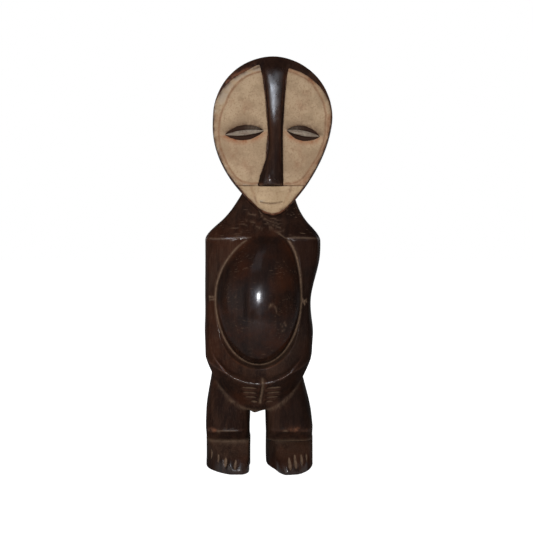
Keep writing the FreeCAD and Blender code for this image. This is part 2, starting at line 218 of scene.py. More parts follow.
def lens_inset(x, z, corners, half_height):
    """Distance inside an eye's outline, which is two arcs from corner to corner."""
    (ax, az), (bx, bz) = corners
    length = math.hypot(bx - ax, bz - az)
    ux, uz = (bx - ax) / length, (bz - az) / length
    along = (x - (ax + bx) / 2) * ux + (z - (az + bz) / 2) * uz
    across = np.abs(-(x - (ax + bx) / 2) * uz + (z - (az + bz) / 2) * ux)
    radius = (length**2 / 4 + half_height**2) / (2 * half_height)
    return radius - np.hypot(along, across + radius - half_height)


def ellipse_inset(x, z, middle_x, middle_z, half_width, half_height):
    """Distance inside an upright ellipse, about right near its outline."""
    dx, dz = x - middle_x, z - middle_z
    radius = np.sqrt((dx / half_width) ** 2 + (dz / half_height) ** 2)
    slope = np.hypot(dx / half_width**2, dz / half_height**2) / np.maximum(radius, 0.05)
    return (1 - radius) / np.maximum(slope, 1e-4)


def belly_lean(z):
    """How far the belly's outline is shifted at this level, to the figure's left."""
    return BELLY_LEAN * np.clip((z - BELLY_Z) / 64.0, 0, 1.1) ** 2


def belly_inset(x, z):
    x = x - belly_lean(z)
    return ellipse_inset(x, z, TORSO_X, BELLY_Z, BELLY_HALF_WIDTH, BELLY_HALF_HEIGHT)


def hip_inset(x, z):
    return ellipse_inset(x, z, TORSO_X, TORSO_Z, HIP_HALF_WIDTH, HIP_HALF_HEIGHT)


def wrist_inset(x, z):
    return ellipse_inset(x, z, TORSO_X, TORSO_Z, WRIST_HALF_WIDTH, WRIST_HALF_HEIGHT)


def hand_gap_x(z):
    """Where the cut between the two hands is at a level: it leans and wavers a little."""
    return HAND_GAP_X + 0.09 * (z - 87) + 0.7 * np.sin(z / 4.5)


def strokes(x, z, marks):
    """1 on short straight marks, each given by its two ends and half its width."""
    total = np.zeros(len(x))
    for ax, az, bx, bz, half in marks:
        dx, dz = bx - ax, bz - az
        share = np.clip(((x - ax) * dx + (z - az) * dz) / (dx**2 + dz**2), 0, 1)
        away = np.hypot(x - ax - share * dx, z - az - share * dz)
        total = np.maximum(total, bump_at(away, half * (0.6 + 0.8 * np.sqrt(share * (1 - share)))))
    return total


def bump_at(distance, width):
    """1 where distance is nought, falling away over width."""
    return np.exp(-((distance / width) ** 2))


# ---- mesh helpers ----

def read_points(mesh):
    flat = np.empty(len(mesh.vertices) * 3, np.float32)
    mesh.vertices.foreach_get("co", flat)
    return flat.reshape(-1, 3).astype(float)


def write_points(mesh, points):
    mesh.vertices.foreach_set("co", points.astype(np.float32).ravel())
    mesh.update()


def normals_of(mesh):
    flat = np.empty(len(mesh.vertices) * 3, np.float32)
    mesh.vertex_normals.foreach_get("vector", flat)
    return flat.reshape(-1, 3).astype(float)


def neighbours(mesh):
    flat = np.empty(len(mesh.edges) * 2, np.int32)
    mesh.edges.foreach_get("vertices", flat)
    return flat.reshape(-1, 2)


def relaxed(points, edges, rounds, strength=0.5):
    """Points pulled towards the mean of their neighbours, round after round."""
    count = len(points)
    ends = np.concatenate([edges[:, 0], edges[:, 1]])
    others = np.concatenate([edges[:, 1], edges[:, 0]])
    share = np.maximum(np.bincount(ends, minlength=count), 1)[:, None]
    strength = np.broadcast_to(np.asarray(strength, float).reshape(-1, 1), (count, 1))
    for _ in range(rounds):
        total = np.stack([np.bincount(ends, points[others, k], count) for k in range(3)], 1)
        points = points + strength * (total / share - points)
    return points


def rubbed(points, edges, rounds, strength):
    """Points relaxed only where the strength is above nought, which is much quicker."""
    moved = strength > 0.01
    near = moved.copy()
    near[edges[moved[edges[:, 0]], 1]] = True
    near[edges[moved[edges[:, 1]], 0]] = True
    chosen = np.flatnonzero(near)
    number = np.full(len(points), -1)
    number[chosen] = np.arange(len(chosen))
    own = number[edges]
    own = own[(own >= 0).all(1)]
    rubbed_points = points.copy()
    rubbed_points[chosen] = relaxed(points[chosen], own, rounds, (strength * moved)[chosen])
    return rubbed_points


def paint(mesh, name, values):
    attribute = mesh.attributes.new(name, "FLOAT", "POINT")
    attribute.data.foreach_set("value", values.astype(np.float32))


def apply_modifiers(piece):
    bpy.context.view_layer.update()
    graph = bpy.context.evaluated_depsgraph_get()
    finished = bpy.data.meshes.new_from_object(piece.evaluated_get(graph))
    piece.modifiers.clear()
    piece.data = finished


def add_piece(name, mesh, node, material):
    piece = bpy.data.objects.new(name, mesh)
    bpy.context.scene.collection.objects.link(piece)
    mesh.polygons.foreach_set("use_smooth", [True] * len(mesh.polygons))
    mesh.materials.clear()
    mesh.materials.append(material)
    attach(piece, "root")
    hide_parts(node)
    return piece


# ---- the face's surface ----

def fit_ball(points):
    """Centre and radius of the ball that the points lie on."""
    system = np.hstack([2 * points, np.ones((len(points), 1))])
    solved = np.linalg.lstsq(system, (points**2).sum(1), rcond=None)[0]
    centre = solved[:3]
    return centre, math.sqrt(solved[3] + centre @ centre)


def cheek_ball():
    """The ball that the cheeks' front lies on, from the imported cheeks."""
    names = ("right_cheek_clay", "left_cheek_clay")
    points = np.vstack([from_row(read_points(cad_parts[n].data)) for n in names])
    centre, radius = fit_ball(points)
    away = np.linalg.norm(points - centre, axis=1)
    return fit_ball(points[away > radius])


BALL_CENTRE, BALL_RADIUS = cheek_ball()


def face_y(x, z):
    aside = (x - BALL_CENTRE[0]) ** 2 + (z - BALL_CENTRE[2]) ** 2
    return BALL_CENTRE[1] - np.sqrt(np.maximum(BALL_RADIUS**2 - aside, 1))


# ---- the carving ----

def lean_the_belly(points):
    """The belly and the hollow round it, leaned with the belly's outline towards the top."""
    x, y, z = points.T
    weight = smoothstep(-belly_inset(x - belly_lean(z), z), 24, 1)
    weight *= smoothstep(-y, 20, 27) * (1 - smoothstep(z, SHOULDER_Z, SHOULDER_Z + 9))
    leaned = points.copy()
    leaned[:, 0] += weight * belly_lean(z)
    return leaned


def blurred(grid, reach):
    """The grid with each row and column run through a bell of this reach, in cells."""
    steps = np.arange(-3 * reach, 3 * reach + 1)
    bell = np.exp(-0.5 * (steps / reach) ** 2)
    for axis in (0, 1):
        grid = np.apply_along_axis(np.convolve, axis, grid, bell, "same")
    return grid


def smoothed_depth(x, y, z, chosen):
    """Depth of the chosen points' surface, blurred on a grid and read back at every point."""
    cell, low_x, low_z = 2.0, -80.0, 80.0
    rows, columns, reach = 90, 100, 4
    u, v = (x - low_x) / cell, (z - low_z) / cell
    at = np.ravel_multi_index((v[chosen].astype(int), u[chosen].astype(int)), (rows, columns))
    count = np.bincount(at, minlength=rows * columns).reshape(rows, columns).astype(float)
    total = np.bincount(at, y[chosen], rows * columns).reshape(rows, columns)
    mean = np.where(count > 0, total / np.maximum(count, 1), 0)
    filled = (count > 0).astype(float)
    calm = blurred(mean, reach) / np.maximum(blurred(filled, reach), 1e-6)
    u, v = u - 0.5, v - 0.5
    iu = np.clip(u.astype(int), 0, columns - 2)
    iv = np.clip(v.astype(int), 0, rows - 2)
    fu, fv = u - iu, v - iv
    below = calm[iv, iu] * (1 - fu) + calm[iv, iu + 1] * fu
    above = calm[iv + 1, iu] * (1 - fu) + calm[iv + 1, iu + 1] * fu
    return below * (1 - fv) + above * fv


def calmed_front(points, normals):
    """The torso's front beside and below the belly, as soft slopes with no creases."""
    x, y, z = points.T
    away = -belly_inset(x, z)
    facing = (normals[:, 1] < -0.3) & (y < -20) & (away > 2) & (z > 98) & (z < SHOULDER_Z)
    weight = facing * smoothstep(away, 2, 6) * smoothstep(z, 100, 108)
    weight *= 1 - smoothstep(z, SHOULDER_Z - 11, SHOULDER_Z - 3)
    weight *= 1 - smoothstep(np.abs(x - TORSO_X), 49, 57)
    weight *= 1 - bump_at(z - ELBOW_Z, 5) * (np.abs(x - TORSO_X) > 42)
    weight *= smoothstep(wrist_inset(x, z), 2, 6)
    calmed = points.copy()
    calmed[:, 1] += weight * (smoothed_depth(x, y, z, facing) - y)
    return calmed


def shaped_by_hand(points):
    """The belly cut off at the shoulder ridge, the hands parted, the nose's and apron's tips."""
    x, y, z = points.T
    shoulder_y = SHOULDER_Y + SHOULDER_SLOPE * (z - SHOULDER_Z)
    slope_y = np.minimum(-33.5 + 0.75 * (z - SHOULDER_Z + 2), shoulder_y)
    over_ridge = (z > SHOULDER_Z - 4) & (z < SHOULDER_Z + 13) & (np.abs(x) < 45) & (y < -15)
    y = np.where(over_ridge, np.maximum(y, slope_y), y)
    gap = bump_at(x - hand_gap_x(z), 1.7) * smoothstep(z, 70, 76) * (1 - smoothstep(z, 99, 105))
    y = y + 1.3 * gap * (y < -28)
    tip_x, tip_z = NOSE_TIP
    tip = bump_at(np.hypot(x - tip_x, z - tip_z), NOSE_TIP_REACH)
    y = y - 1.2 * tip * (y < -36)
    apron = bump_at(x - APRON_X, 5.5) * (1 - smoothstep(z, 64, 80))
    apron *= (z > 50) * (np.abs(x + 6) < 9) * (y < -10)
    z = z - APRON_DROP * apron
    return np.stack([x, y, z], 1)


def rounding(share, squareness):
    """Depth of a superellipse's edge below its middle, for a depth of 1."""
    return 1 - (1 - share**squareness) ** (1 / squareness)


def filled_nose(points, normals):
    """The nose's front, made flatter across than it is in the CAD solid."""
    x, y, z = points.T
    share = np.clip(np.abs(x - nose_middle(z)) / np.interp(z, NOSE_Z, NOSE_HALF), 0, 0.96)
    weight = smoothstep(-normals[:, 1], 0.25, 0.6) * (beside_nose(x, z) < 0) * (y < -10)
    weight *= smoothstep(z, MOUTH_Z + 3, MOUTH_Z + 22) * (1 - smoothstep(z, 425, 440))
    points[:, 1] -= NOSE_HEIGHT * weight * (rounding(share, ROUND_NOSE) - rounding(share, FLAT_NOSE))
    return points


def rounded_feet(points, edges, cut_depth):
    """The feet with their upper rims rubbed round, away from the cuts between the toes."""
    y, z = points.T[1:]
    strength = smoothstep(z, 1.0, 4.0) * (1 - smoothstep(z, ANKLE_Z - 7, ANKLE_Z - 3))
    strength *= (1 - smoothstep(y, -2, 4)) * (1 - smoothstep(cut_depth, 0.05, 0.15))
    return rubbed(points, edges, 60, 0.5 * strength)


def softened_top(points, edges):
    """The belly's top blended into the shoulders' slope, their ridge and the knees rubbed even."""
    x, y, z = points.T
    top = bump_at(z - SHOULDER_Z + 2, 7.0) * smoothstep(22 - np.abs(x - 7), 0, 8) * (y < -12)
    ridge = np.maximum(bump_at(z - SHOULDER_Z, 3.0) * (y < -24), bump_at(z - KNEE_Z, 2.5) * (y < -28))
    points = rubbed(points, edges, 14, 0.5 * ridge)
    return rubbed(points, edges, 50, 0.5 * top)


def unevenness(points, normals):
    """How far each point stands out, in millimetres: hand-cut unevenness, spine and seat."""
    x, y, z = points.T
    push = 0.55 * noise(points, 26, 1, (1, 1, 1.6)) + 0.20 * noise(points, 9, 2, (1, 1, 2.2))
    push += 0.06 * noise(points, 3.2, 3, (1, 1, 2.5))
    push *= 1 - 0.45 * smoothstep(z, 268, 300)
    dome = smoothstep(belly_inset(x, z), 0, 4) * (y < -25)
    push *= 1 - 0.7 * dome
    back = smoothstep(normals[:, 1], 0.3, 0.8)
    spine = bump_at(x - 1.0, 5.0) * smoothstep(z, 96, 125) * (1 - smoothstep(z, 225, 262))
    push -= 2.2 * back * spine
    cleft = bump_at(x + 2.0, 3.0) * smoothstep(z, 62, 74) * (1 - smoothstep(z, 92, 104))
    push -= 3.0 * back * cleft
    return push


def behind_the_clay(points):
    """The face's wood, kept just behind the front of the clay that lies on it."""
    x, y, z = points.T
    inside = np.where(x < nose_middle(z), outer_inset("right", x, z) - CLAY_SPREAD, egg_inset(x, z))
    coated = (inside > 0.5) & (beside_nose(x, z) > 0.4) & (y < 0)
    for corners in EYES.values():
        inset = lens_inset(x, z, corners, EYE_HALF_HEIGHT)
        coated &= (inset < -0.4) | (lens_inset(x, z, corners, LID_HALF_HEIGHT) > 0.2)
    front = face_y(x, z) + 0.45 - np.where(z < MOUTH_Z, MOUTH_STEP, 0.0)
    points[:, 1] = np.where(coated, np.maximum(y, front), y)
    return points


def fine_carving(source):
    """The CAD solid as an even mesh, fine enough to work the surface."""
    piece = bpy.data.objects.new("carving", source.data.copy())
    bpy.context.scene.collection.objects.link(piece)
    remesh = piece.modifiers.new("voxels", "REMESH")
    remesh.mode = "VOXEL"
    remesh.voxel_size = VOXEL / 1000 * UNIT
    apply_modifiers(piece)
    return piece


def worked_points(mesh):
    """The carving's points with edges worn round and shapes eased, and how deep each cut is."""
    edges = neighbours(mesh)
    points = relaxed(from_row(read_points(mesh)), edges, 3)
    points = lean_the_belly(points)
    write_points(mesh, points)
    cut_depth = ((relaxed(points, edges, 45) - points) * normals_of(mesh)).sum(1)
    points = relaxed(points, edges, 10, 0.5 * (1 - smoothstep(cut_depth, 0.12, 0.3)))
    points = rounded_feet(points, edges, cut_depth)
    write_points(mesh, points)
    points = filled_nose(points, normals_of(mesh))
    points = shaped_by_hand(calmed_front(points, normals_of(mesh)))
    points = softened_top(points, edges)
    write_points(mesh, points)
    normals = normals_of(mesh)
    points = points + normals * unevenness(points, normals)[:, None]
    points = behind_the_clay(points)
    points[:, 2] = np.maximum(points[:, 2], 0)
    return points, cut_depth


def make_carving(material):
    """The wooden figure: the CAD solid with its edges worn round and the knife's unevenness."""
    piece = fine_carving(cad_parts["carved_figure"])
    mesh = piece.data
    points, cut_depth = worked_points(mesh)
    write_points(mesh, points)
    paint_carving(mesh, cut_depth)
    write_points(mesh, to_row(points))
    triangles = sum(len(p.vertices) - 2 for p in mesh.polygons)
    thin = piece.modifiers.new("thin", "DECIMATE")
    thin.ratio = min(1.0, MOST_TRIANGLES / triangles)
    apply_modifiers(piece)
    mesh = piece.data
    mesh.name = "carved_wood"
    bpy.data.objects.remove(piece)
    return add_piece("carved_wood", mesh, "carved_figure", material)


def paint_carving(mesh, cut_depth):
    """Where the wood is cut bare, rubbed and stained, as numbers that the material reads."""
    points, normals = read_points(mesh), normals_of(mesh)
    x, y, z = points.T
    hollow = ((relaxed(points, neighbours(mesh), 30) - points) * normals).sum(1)
    front = smoothstep(-normals[:, 1], -0.1, 0.25) * (y < 5)
    hands = (z > 66) & (z < 101) & (np.abs(x - 1) < 29) & (hip_inset(x, z) > 7)
    worn = smoothstep(-hollow, 0.10, 0.5) * smoothstep(z, 18, 40) * (1 - 0.7 * hands)
    # Painted shade: the wood darkened in hollows and creases, kept off the belly's outline.
    hollow_shade = smoothstep(hollow, 0.12, 0.7) * (1 - bump_at(belly_inset(x, z) + 2.5, 6.0))
    dome = smoothstep(belly_inset(x, z), 0.5, 4.0) * front
    socket, dust = eye_sockets(x, y, z)
    painted = {
        "bare_and_highlight": bare_wood_and_highlights(points, cut_depth, front, hands),
        "worn": worn,
        "hollow_shade": hollow_shade,
        "glint": glints(x, y, z) * front,
        "gloss": np.maximum(nose_gloss(x, y, z), toe_gloss(y, z) * front),
        "shade": shade(x, z, front),
        "dome": dome,
        "shine": dome * (1 - 0.8 * smoothstep(z, 188, 212)),
        "pale": pale_places(x, y, z) * front,
        "neck": smoothstep(z, SHOULDER_Z - 4, SHOULDER_Z + 6) * (1 - smoothstep(z, 280, 300)),
        "earth": earth_stains(x, y, z),
        "socket": socket,
        "dust": dust,
    }
    for name, values in painted.items():
        paint(mesh, name, values)


def bare_wood_and_highlights(points, cut_depth, front, hands):
    """1 where the knife, or long wear, left the pale wood showing: cuts, outlines and scratches; also
    painted highlights, pale lines where light catches the shoulders' ridge and the knees' ledges.
    """
    x, y, z = points.T
    toes = (z < 27) & (y < -14)
    elbows = (np.abs(z - ELBOW_Z) < 6) & (np.abs(x + 2) > 42)
    cut = smoothstep(cut_depth - 0.12 * hands, 0.20, 0.5) * front * (hands | toes | elbows)
    gap = 0.85 * bump_at(x - hand_gap_x(z), 1.3) * smoothstep(z, 71, 76)
    gap *= 1 - smoothstep(z, 100, 104)
    cut = np.maximum(cut, gap * (y < -28) * front)
    cut *= np.where(hands & (np.abs(x - HAND_GAP_X) > 4), 0.65, 0.95)
    faded = 0.45 + 0.55 * smoothstep(noise(points, 14, 41), -0.5, 0.4)
    belly = bump_at(belly_inset(x, z) + 0.8, 1.1) * front * (y < -24)
    belly *= (1 - smoothstep(z, SHOULDER_Z - 4, SHOULDER_Z)) * (0.7 + 0.3 * faded)
    hip = bump_at(hip_inset(x, z), 1.3) * front * (z < 98) * (y < -18) * faded
    hip *= 1 - 0.65 * smoothstep(np.abs(x), 28, 46)
    ankle = bump_at(z - ANKLE_Z, 2.0) * front * (y < -15) * faded
    marks = 0.8 * strokes(x, z, NECK_SCRATCHES) * (y < -5)
    marks = np.maximum(marks, 0.9 * strokes(x, z, BELLY_NICKS + ELBOW_MARKS) * (y < -25))
    # Painted highlights: pale strokes where light catches the knees' ledges.
    marks = np.maximum(marks, 0.6 * strokes(x, z, KNEE_HIGHLIGHTS) * (y < -30)) * front
    # Painted highlight: a pale line where light catches the shoulders' ridge.
    ridge = 0.5 * shoulder_line(x, z, 0.9) * (y < -24)
    bare_and_highlight = np.maximum.reduce([cut, 0.9 * belly, 0.6 * hip, 0.55 * ankle, marks, ridge])
    return np.clip(bare_and_highlight, 0, 1)


def nose_gloss(x, y, z):
    """Wax polish on the nose's front, strongest on its upper half and again near the tip."""
    gloss = smoothstep(-beside_nose(x, z), 1.5, 5.5) * (z > MOUTH_Z) * (y < -10)
    gloss *= 0.02 + 0.98 * smoothstep(z, 366, 395) + 0.35 * bump_at(z - 312, 5)
    return gloss * (1 - smoothstep(z, 426, 438))


def toe_gloss(y, z):
    return 0.5 * (1 - smoothstep(z, 8, 16)) * smoothstep(-y, 28, 36)


def shade(x, z, front):
    """Painted shade on the wood: darker on the figure's left, where less light falls, over the belly,
    most towards its top, and on the crown.
    """
    left = smoothstep(x, 8, 40) * (1 - smoothstep(z, 255, 290)) * smoothstep(z, 40, 60)
    belly = (0.8 + 0.2 * smoothstep(z, 200, 235)) * smoothstep(belly_inset(x, z), 0, 6) * front
    crown = 0.7 * smoothstep(z, 426, 440)
    return np.maximum.reduce([left, belly, crown])


def pale_places(x, y, z):
    """Where the skin is thin and dusty: round the belly's lower left, the chest and the insteps."""
    outside = np.maximum(-belly_inset(x, z), 0)
    crescent = smoothstep(-belly_inset(x, z), 0, 3) * smoothstep(-y, 27, 30) * (z < 175) * (z > 97)
    crescent *= 0.25 + 0.75 * smoothstep(x + 0.3 * (z - 120), -5, 25)
    crescent *= np.exp(-outside / 12)
    chest = smoothstep(z, 185, 200) * (1 - smoothstep(z, 240, SHOULDER_Z)) * (outside > 0)
    chest *= 0.45 * np.exp(-outside / 9) * (y < -20)
    instep = 0.4 * smoothstep(z, 12, 20) * (1 - smoothstep(z, ANKLE_Z - 2, ANKLE_Z + 2))
    return np.maximum.reduce([crescent, chest, instep])


def earth_stains(x, y, z):
    """Red earth on the wood: along the clay on the right of the crown, the chin and the knees."""
    crown = bump_at(outer_inset("right", x, z) + 0.5, 1.8) * smoothstep(z, 392, 405) * (x < -3)
    chin = 0.8 * bump_at(egg_inset(x, z) + 0.6, 1.6) * (1 - smoothstep(z, 285, 320))
    knees = 0.8 * strokes(x, z, KNEE_RUST) * (y < -30)
    return np.maximum.reduce([crown, chin, knees]) * (y < 0)


def eye_sockets(x, y, z):
    """1 inside the gouges round the lids, and 1 on the clay dust in their upper inner ends."""
    socket, dust = np.zeros(len(x)), np.zeros(len(x))
    for corners in EYES.values():
        (inner_x, inner_z), (outer_x, outer_z) = corners
        inside = smoothstep(lens_inset(x, z, corners, EYE_HALF_HEIGHT), -1.2, -0.2) * (y < 0)
        share = (x - inner_x) / (outer_x - inner_x)
        upper = smoothstep(z - (inner_z + share * (outer_z - inner_z)), 2.0, 4.0)
        socket = np.maximum(socket, inside)
        dust = np.maximum(dust, inside * upper * (1 - smoothstep(share, 0.15, 0.6)))
    return socket, dust


def shoulder_line(x, z, width):
    """The worn ridge of the shoulders, a little wavy, that stops at the belly: it places the coat's
    glint and a painted highlight line.
    """
    wavy = z + 0.5 * np.sin(x / 9.0)
    ends = smoothstep(61 - np.abs(x - 2), 0, 6)
    return bump_at(wavy - SHOULDER_Z - 0.2, width) * (belly_inset(x, z) < -0.5) * ends


def glints(x, y, z):
    """The ridges that hands have polished: shoulders, wrists and the right knee's ledge."""
    shoulder = shoulder_line(x, z, 1.4)
    wrist = bump_at(wrist_inset(x, z), 1.3) * (z < 130) * smoothstep(x, -40, -26)
    wrist *= 1 - smoothstep(x, 10, 18)
    knee = bump_at(z - KNEE_Z - 0.4, 0.9) * (y < -28) * smoothstep(x, -42, -38) * smoothstep(-x, 22, 25)
    return np.maximum.reduce([0.45 * shoulder, 0.5 * wrist, knee])


# ---- the clay ----

def outer_inset(side, x, z):
    """Distance inside the face's outline, which is higher on the right of the forehead."""
    raised = 1.2 * smoothstep(z, 388, 402) + 2.4 * smoothstep(x, -15, -3) * smoothstep(z, 410, 425)
    return egg_inset(x, z) + CLAY_SPREAD + raised * (side == "right")


def cheek_inset(side, x, z):
    """Distance inside one cheek's clay: within the face, beside the nose, above the mouth."""
    own_side = (x < nose_middle(z)) == (side == "right")
    aside = np.where(own_side, beside_nose(x, z), -5.0)
    eye = lens_inset(x, z, EYES[side], EYE_HALF_HEIGHT)
    return np.minimum.reduce([outer_inset(side, x, z), aside, z - MOUTH_Z - MOUTH_GAP, -eye])


def mouth_inset(x, z):
    return np.minimum(egg_inset(x, z), MOUTH_Z - MOUTH_GAP - z)


def lid_inset(side, x, z):
    return lens_inset(x, z, EYES[side], LID_HALF_HEIGHT)


def cheek_line(side, x, z):
    """Distance from the line carved round the inside of a cheek, closed above the mouth."""
    levels, insets = CHEEK_LINE[side]
    flat = upright(x, z)
    from_rim = egg_inset(x, z) - np.interp(z, levels, insets) - 0.5 * noise(flat, 9, 20)
    from_mouth = z - MOUTH_Z - 2.4 - 0.3 * noise(flat, 7, 21)
    round_off = 9.0
    t = np.clip(0.5 + (from_mouth - from_rim) / (2 * round_off), 0, 1)
    return from_mouth * (1 - t) + from_rim * t - round_off * t * (1 - t)


def mouth_line(x, z):
    """Distance from the line between the lips, a shallow smile."""
    aside = x - MOUTH_X
    return np.hypot(np.maximum(np.abs(aside) - 11.5, 0), z - 288.6 - 0.012 * aside**2)


def lips(x, z):
    """1 on the raised lips, which widen upwards, and 0 round them."""
    aside = np.abs(x - MOUTH_X)
    sides = smoothstep(13.0 + 0.35 * (z - 288) - aside, -1.5, 1.5)
    return sides * smoothstep(z, 280, 284) * (1 - smoothstep(z, 299, 303))


def clay_relief(kind, side, x, z, inset):
    """Height of the clay's front over the face's ball, in millimetres."""
    flat = upright(x, z)
    height = 0.22 * layered_noise(flat, 16, 11) + 0.05 * noise(flat, 2.4, 15)
    if kind == "cheek":
        line = cheek_line(side, x, z)
        height += 0.10 - 0.4 * bump_at(line, 1.0) - 0.15 * smoothstep(-line, 0, 1.5)
    elif kind == "mouth":
        height += MOUTH_STEP + 0.7 * lips(x, z) - 0.8 * bump_at(mouth_line(x, z), 0.8)
        height += 0.3 * smoothstep(z, MOUTH_Z - 5, MOUTH_Z - 1)
    else:
        height += MOUTH_STEP * smoothstep(inset, 0, LID_HALF_HEIGHT)
        height += 0.12 * noise(flat * (0.15, 1, 1), 0.8, 16)
    rim_width = 1.3 if kind != "lid" else 0.8
    rim_depth = 0.75 - 0.5 * bump_at(z - MOUTH_Z, 2.0)
    from_rim = np.clip(inset / rim_width, 0, 1)
    return height - rim_depth * (1 - np.sqrt(1 - (1 - from_rim) ** 2))


def rim_dirt(x, z, patchy):
    return np.exp(-np.maximum(egg_inset(x, z), 0) / 1.6) * (0.35 + 0.65 * patchy)


def smudges(x, z):
    """The large brown patches on the cheeks."""
    total = np.zeros(len(x))
    for at_x, at_z, reach in SMUDGES:
        total = np.maximum(total, bump_at(np.hypot(x - at_x, z - at_z), reach))
    return total * smoothstep(noise(upright(x, z), 4, 54), -0.6, 0.5)


def lid_stains(x, z):
    streaks = smoothstep(noise(upright(x, z) * (0.12, 1, 1), 0.9, 53), -0.1, 0.6)
    nothing = np.zeros(len(x))
    return 0.6 * streaks, nothing, nothing


def mouth_stains(x, z, patchy, speckled):
    edge = rim_dirt(x, z, patchy)
    line = bump_at(mouth_line(x, z), 0.9)
    # Painted shade beside the lips, where their relief turns away, over brown lines along their sides; a
    # little of it goes into the orange.
    lip_shade = bump_at(np.abs(x - MOUTH_X) - 15 - 0.35 * (z - 288), 1.8) * smoothstep(z, 284, 292)
    top = 0.4 * bump_at(z - MOUTH_Z, 1.0)
    brown = np.maximum.reduce([0.75 * line, 0.5 * lip_shade * patchy, top, 0.8 * edge])
    ledge = 0.9 * bump_at(np.hypot((x - MOUTH_X + 10.5) / 3, z - 291.2), 0.9)
    specks = 0.6 * speckled * bump_at(egg_inset(x, z) - 1.0, 1.0) * (x < 8)
    return brown, np.maximum(0.3 * edge, 0.25 * lip_shade), np.maximum(specks, ledge)


def cheek_brown(side, x, z, patchy, speckled):
    """Brown: dirt in the carved line, beside the nose, on the rim, in smudges and on the frayed edge,
    and painted shade above the eye.
    """
    line = bump_at(cheek_line(side, x, z), 1.1) * (0.55 + 0.45 * patchy)
    eye, over_eye = around_eye(side, x, z)
    # Painted shade above the eye, where the clay dips into the socket.
    above = smoothstep(over_eye, -1, 3) * np.exp(-np.maximum(eye, 0) / 4.2) * (eye > -1)
    nose = np.exp(-np.maximum(beside_nose(x, z), 0) / 0.9)
    patches = smudges(x, z) * (0.4 + 0.6 * speckled)
    seam = bump_at(z - MOUTH_Z, 1.2)
    brown = [0.4 * line, 0.95 * above, 0.6 * nose, 0.9 * rim_dirt(x, z, patchy), 0.35 * patches,
             0.5 * seam]
    if side == "right":
        outer = outer_inset(side, x, z)
        frayed = smoothstep(noise(upright(x, z), 1.3, 55), 0.0, 0.5) * smoothstep(5 - outer, 0, 5)
        brown.append(0.7 * frayed * smoothstep(z, 398, 412))
    return np.maximum.reduce(brown)


def cheek_rust(side, x, z, patchy):
    """Red earth: below the eye, smudges, in and outside the carved line, along the left's top."""
    line = cheek_line(side, x, z)
    eye, over_eye = around_eye(side, x, z)
    below = smoothstep(-over_eye, -1, 3) * bump_at(np.maximum(eye - 1, 0), 3.2) * (eye > -1)
    band = smoothstep(-line, 0.5, 2) * (0.3 + 0.7 * patchy) * (z < 385)
    rust = [below * (0.6 + 0.4 * patchy), 0.3 * smudges(x, z), 0.55 * bump_at(line, 1.3),
            (0.6 if side == "left" else 0.3) * band]
    if side == "left":
        top = bump_at(egg_inset(x, z) - 1.5, 3.0) * smoothstep(z, 406, 422)
        rust.append(top * (0.4 + 0.6 * patchy))
    return np.maximum.reduce(rust)


def cheek_pale(side, x, z, patchy, speckled):
    """Whiter clay: the right cheek's upper rim, and a dash beside the nose's foot."""
    pale = 0.9 * bump_at(z - MOUTH_Z - 1.2, 0.8) * (np.abs(x + 10) < 9) * patchy
    if side == "right":
        line = cheek_line(side, x, z)
        strip = 0.6 * smoothstep(-line, 0, 2) * smoothstep(z, 385, 400) * patchy
        rim = speckled * bump_at(outer_inset(side, x, z) - 1.2, 1.2)
        pale = np.maximum.reduce([pale, strip, rim])
    return np.clip(pale, 0, 1)


def around_eye(side, x, z):
    """Distance outside the eye's outline, and height over the line from corner to corner."""
    (first_x, first_z), (last_x, last_z) = sorted(EYES[side])
    middle = np.interp(x, (first_x, last_x), (first_z, last_z))
    return -lens_inset(x, z, EYES[side], EYE_HALF_HEIGHT), z - middle


def clay_stains(kind, side, x, z):
    """Brown dirt and painted shade, orange earth and pale rubbing on the clay, each from 0 to 1."""
    flat = upright(x, z)
    patchy = smoothstep(noise(flat, 5, 51), -0.35, 0.35)
    speckled = smoothstep(noise(flat, 1.7, 52), 0.1, 0.6)
    if kind == "lid":
        return lid_stains(x, z)
    if kind == "mouth":
        return mouth_stains(x, z, patchy, speckled)
    return (cheek_brown(side, x, z, patchy, speckled), cheek_rust(side, x, z, patchy),
            cheek_pale(side, x, z, patchy, speckled))


def cut_to_outline(xs, zs, inset):
    """A grid's points and quads inside the outline, its border moved onto the outline."""
    step = xs[1] - xs[0]
    x, z = [g.ravel() for g in np.meshgrid(xs, zs)]
    found = inset(x, z)
    nudge = 0.05
    for _ in range(3):
        near = (found < 0) & (found > -1.6 * step)
        slope_x = (inset(x + nudge, z) - found) / nudge
        slope_z = (inset(x, z + nudge) - found) / nudge
        move = np.where(near, -found / np.maximum(slope_x**2 + slope_z**2, 0.2), 0)
        x = x + np.clip(move * slope_x, -0.7 * step, 0.7 * step)
        z = z + np.clip(move * slope_z, -0.7 * step, 0.7 * step)
        found = inset(x, z)
    columns, rows = len(xs), len(zs)
    corner = (np.arange(rows - 1)[:, None] * columns + np.arange(columns - 1)).ravel()
    quads = np.stack([corner, corner + 1, corner + columns + 1, corner + columns], 1)
    quads = quads[(found > -0.25 * step)[quads].all(1)]
    used, quads = np.unique(quads, return_inverse=True)
    return x[used], z[used], np.maximum(found[used], 0), quads.reshape(-1, 4)


def border(quads):
    """Directed edges that only one quad has, in the order that quad walks them."""
    edges = np.concatenate([quads[:, [i, (i + 1) % 4]] for i in range(4)])
    _, first, counts = np.unique(np.sort(edges, axis=1), axis=0, return_index=True,
                                 return_counts=True)
    return edges[first[counts == 1]]


def ragged(inset, kind, side):
    """The outline with chips along it, and frayed on the right of the forehead."""
    raggedness = 0.3 if kind == "lid" else 1.0

    def ragged_inset(x, z):
        flat = upright(x, z)
        chips = 0.25 * noise(flat, 2.6, 31) + 0.35 * noise(flat, 9, 32)
        fraying = smoothstep(z, 398, 415) * (side == "right") * smoothstep(3 - x, 0, 12)
        chips -= fraying * (0.2 + 1.1 * np.abs(noise(flat, 1.6, 33)))
        return inset(x, z) + raggedness * chips

    return ragged_inset


